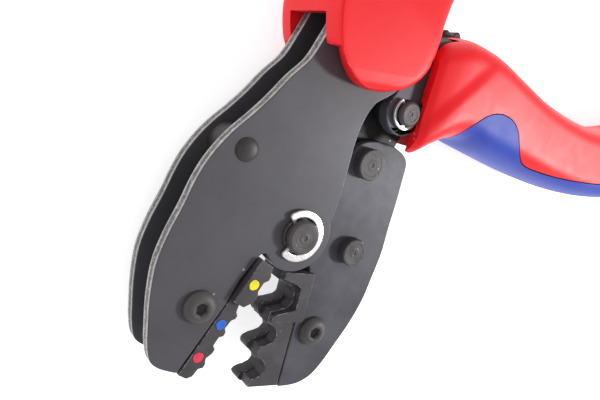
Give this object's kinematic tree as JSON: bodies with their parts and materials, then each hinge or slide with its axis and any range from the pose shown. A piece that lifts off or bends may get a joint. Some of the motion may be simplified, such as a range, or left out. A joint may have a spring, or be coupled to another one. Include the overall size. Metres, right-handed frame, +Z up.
{
  "type": "ratcheting crimping tool",
  "caption": "Ratcheting crimping tool with a plate frame, pivoting lower jaw, exchangeable crimping dies, a toggle-linked moving handle and soft moulded grips.",
  "frame": {"origin": "centre of the tool's bounding box, on the plane it lies on", "axes": "+Z up through the side plates' thickness, +Y from the jaws along the fixed handle, +X towards the opened moving handle"},
  "size_m": [0.1786, 0.2264, 0.0243],
  "materials": {
    "black_steel": "satin black",
    "die_steel": "black oxide, slightly rough",
    "oxide_steel": "turned, black oxide",
    "bright_spring_steel": "bright",
    "red_grip": "soft satin moulding",
    "blue_inlay": "soft satin moulding",
    "paint_yellow": "paint dot",
    "paint_blue": "paint dot",
    "paint_red": "paint dot"
  },
  "bodies": {
    "frame": {"dot_blue": "paint_blue", "dot_red": "paint_red", "dot_yellow": "paint_yellow", "fixed_die": "die_steel", "fixed_die_screw": "oxide_steel", "fixed_grip": "red_grip", "fixed_grip_inlay": "blue_inlay", "frame_plate_far": "black_steel", "frame_plate_near": "black_steel", "frame_rivet": "oxide_steel", "frame_spacer": "oxide_steel", "main_clip_far": "bright_spring_steel", "main_clip_near": "bright_spring_steel", "main_pivot_pin": "oxide_steel", "return_spring": "bright_spring_steel", "tang_rivet_1": "oxide_steel", "tang_rivet_2": "oxide_steel", "toggle_anchor_pin": "oxide_steel"},
    "moving_jaw": {"jaw_core": "black_steel", "jaw_plate_far": "black_steel", "jaw_plate_near": "black_steel", "jaw_rivet_lower": "oxide_steel", "jaw_rivet_upper": "oxide_steel", "moving_die": "die_steel", "moving_die_screw": "oxide_steel"},
    "moving_handle": {"handle_cheek_far": "black_steel", "handle_cheek_near": "black_steel", "handle_rivet_1": "oxide_steel", "handle_rivet_2": "oxide_steel", "hinge_clip_far": "bright_spring_steel", "hinge_clip_near": "bright_spring_steel", "hinge_pin": "oxide_steel", "hinge_washer_far": "black_steel", "hinge_washer_near": "black_steel", "moving_grip": "red_grip", "moving_grip_inlay": "blue_inlay", "pawl_pin": "oxide_steel", "pawl_spring": "bright_spring_steel", "toggle_pin": "oxide_steel", "wheel_pin": "oxide_steel"},
    "toggle_links": {"link_cross_pin": "oxide_steel", "toggle_link_far": "black_steel", "toggle_link_near": "black_steel"},
    "pawl": {"pawl": "die_steel"},
    "star_wheel": {"star_wheel": "oxide_steel"}
  },
  "joints": [
    {"name": "jaw_pivot", "type": "hinge", "parent": "frame", "child": "moving_jaw", "pos_m": [-0.05976, -0.07358, 0.01217], "axis": [0, 0, -1], "range_deg": [0, 20]},
    {"name": "handle_pivot", "type": "hinge", "parent": "moving_jaw", "child": "moving_handle", "pos_m": [-0.04699, -0.03655, 0.01217], "axis": [0, 0, 1], "range_deg": [0, 60]},
    {"name": "toggle_pivot", "type": "hinge", "parent": "moving_handle", "child": "toggle_links", "pos_m": [-0.04863, -0.02165, 0.01217], "axis": [0, 0, -1], "range_deg": [0, 72]},
    {"name": "pawl_pivot", "type": "hinge", "parent": "moving_handle", "child": "pawl", "pos_m": [-0.03173, -0.03219, 0.01217], "axis": [0, 0, -1], "range_deg": [0, 12], "stiffness_Nm_per_rad": 0.002},
    {"name": "wheel_spin", "type": "hinge", "parent": "moving_handle", "child": "star_wheel", "pos_m": [-0.03603, -0.0196, 0.01217], "axis": [0, 0, 1], "continuous": true}
  ],
  "couplings": [
    {"joint": "handle_pivot", "follows": "jaw_pivot", "ratio": 3},
    {"joint": "toggle_pivot", "follows": "jaw_pivot", "ratio": 3.6}
  ]
}
